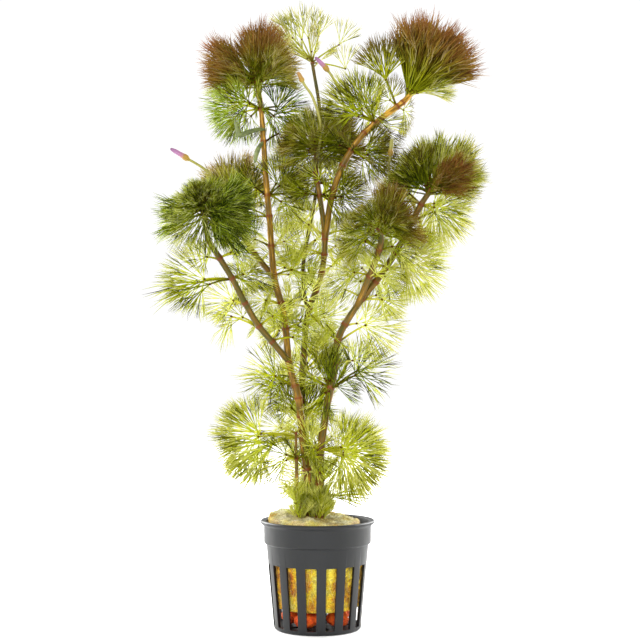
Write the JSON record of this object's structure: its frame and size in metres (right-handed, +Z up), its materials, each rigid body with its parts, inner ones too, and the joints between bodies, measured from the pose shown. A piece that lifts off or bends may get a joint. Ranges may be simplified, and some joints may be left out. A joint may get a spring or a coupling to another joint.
{
  "type": "potted aquarium plant",
  "caption": "Feathery red cabomba: thin branching stems with whorls of finely forked fan leaves, red-brown tips and flower buds, in a slotted pot with a mineral wool plug.",
  "frame": {"origin": "middle of the pot's foot, on the surface that it stands on", "axes": "+Z up, -Y towards the side that the picture shows, +X to that side's right"},
  "size_m": [0.1529, 0.1044, 0.2819],
  "materials": {
    "pot_plastic": "satin",
    "mineral_wool": "matte",
    "baked_clay": "matte",
    "stem": "satin",
    "leaf_green": "satin",
    "leaf_young": "satin",
    "leaf_pale": "satin",
    "bud": "satin"
  },
  "bodies": {
    "root": {"bud_left": "bud", "bud_middle": "bud", "bud_orange": "bud", "bud_right": "bud", "clay_pellet_1": "baked_clay", "clay_pellet_2": "baked_clay", "clay_pellet_3": "baked_clay", "clay_pellet_4": "baked_clay", "clay_pellet_5": "baked_clay", "floating_leaf_bent": "leaf_green", "floating_leaf_straight": "leaf_green", "leaves_arm_high": "leaf_green", "leaves_arm_low": "leaf_green", "leaves_arm_middle": "leaf_green", "leaves_back_high": "leaf_green", "leaves_back_low": "leaf_green", "leaves_base": "leaf_green", "leaves_left_fork": "leaf_green", "leaves_left_high": "leaf_green", "leaves_left_low": "leaf_green", "leaves_left_middle": "leaf_green", "leaves_left_top": "leaf_green", "leaves_left_upper": "leaf_green", "leaves_middle_fork": "leaf_green", "leaves_middle_high": "leaf_green", "leaves_middle_low": "leaf_green", "leaves_middle_second": "leaf_green", "leaves_middle_upper": "leaf_green", "leaves_right_fork": "leaf_green", "leaves_right_high": "leaf_green", "leaves_right_low": "leaf_green", "leaves_right_middle": "leaf_green", "leaves_right_second": "leaf_green", "leaves_right_top": "leaf_green", "leaves_right_upper": "leaf_green", "leaves_short": "leaf_green", "leaves_side_low": "leaf_green", "leaves_side_middle": "leaf_green", "leaves_spur_high": "leaf_green", "leaves_spur_low": "leaf_green", "pot": "pot_plastic", "stem_left": "stem", "stem_left_back": "stem", "stem_left_side": "stem", "stem_middle": "stem", "stem_middle_back": "stem", "stem_middle_right": "stem", "stem_right": "stem", "stem_right_side": "stem", "stem_short": "stem", "tuft_front": "leaf_green", "tuft_left": "leaf_green", "tuft_left_back": "leaf_young", "tuft_middle": "leaf_green", "tuft_right": "leaf_young", "tuft_top_back": "leaf_pale", "tuft_top_left": "leaf_young", "tuft_top_right": "leaf_young", "wool_plug": "mineral_wool"}
  },
  "joints": []
}
